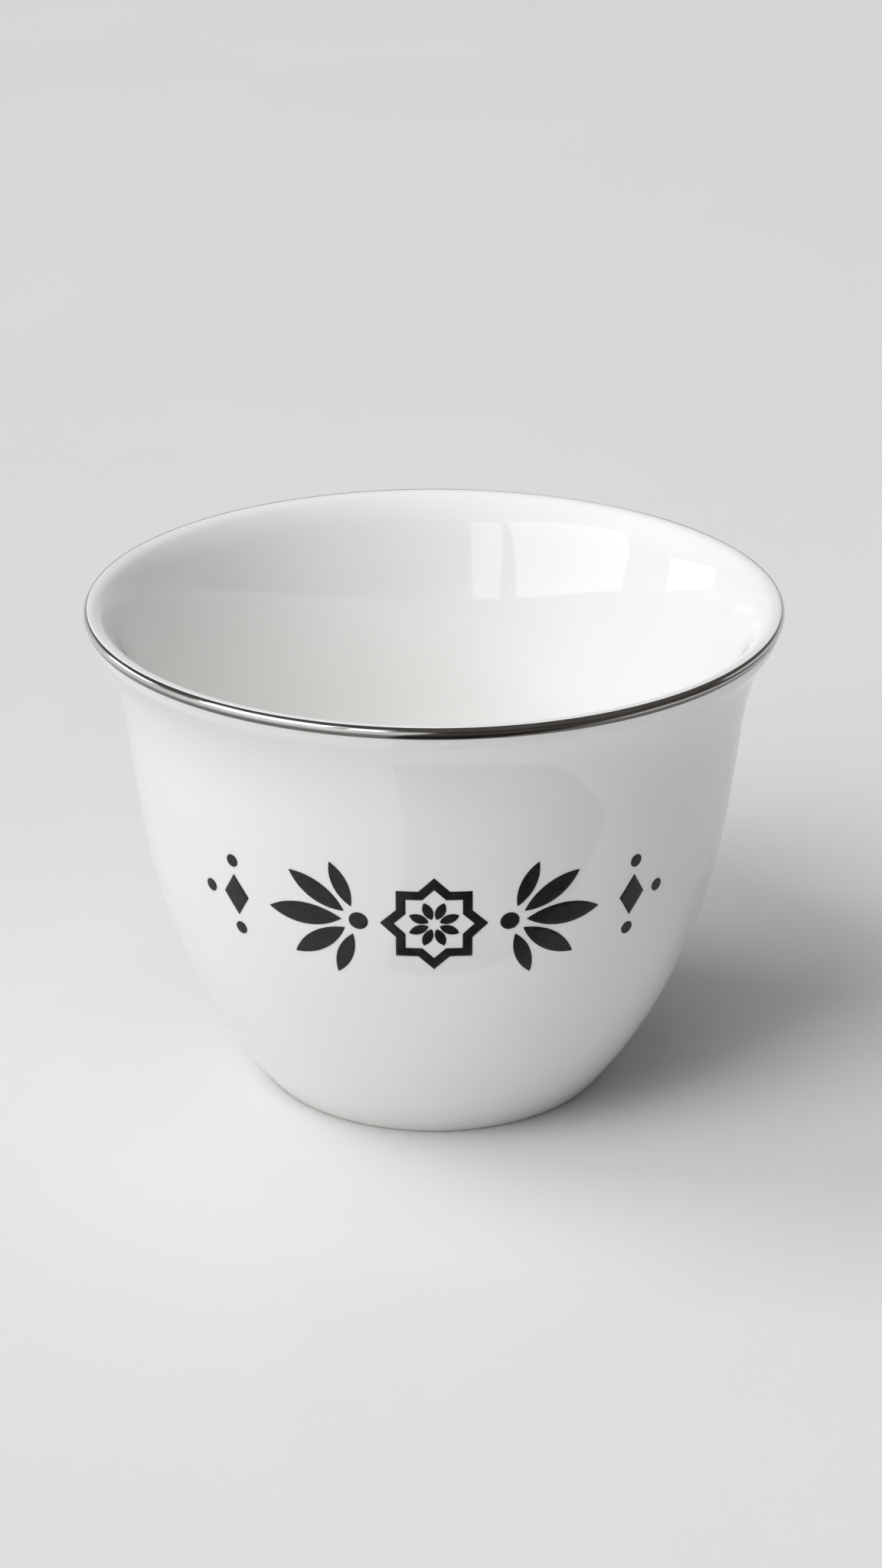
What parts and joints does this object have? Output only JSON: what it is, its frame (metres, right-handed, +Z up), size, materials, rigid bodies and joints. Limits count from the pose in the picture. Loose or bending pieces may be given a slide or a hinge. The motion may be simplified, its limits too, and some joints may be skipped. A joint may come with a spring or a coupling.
{
  "type": "arabic coffee cup",
  "caption": "Small handle-less coffee cup of glazed white porcelain with a flared lip, a thin metal band on the lip and a black enamel ornament on the front.",
  "frame": {"origin": "middle of the foot, on the table that the cup stands on", "axes": "+Z up along the cup's axis; the ornament faces -Y and +X is to its right"},
  "size_m": [0.0682, 0.0682, 0.0495],
  "materials": {
    "bare_porcelain": "bare fired porcelain, ground flat where the cup stands",
    "clear_glaze": "gloss white",
    "fired_metal": "polished, fired metal lustre",
    "black_enamel": "gloss black fired enamel"
  },
  "bodies": {
    "root": {"porcelain_body": "bare_porcelain", "glaze_coat": "clear_glaze", "well_glaze": "clear_glaze", "rim_band": "fired_metal", "star_medallion": "black_enamel", "left_palmette": "black_enamel", "right_palmette": "black_enamel", "left_lozenge": "black_enamel", "right_lozenge": "black_enamel", "left_dots": "black_enamel", "right_dots": "black_enamel"}
  },
  "joints": []
}
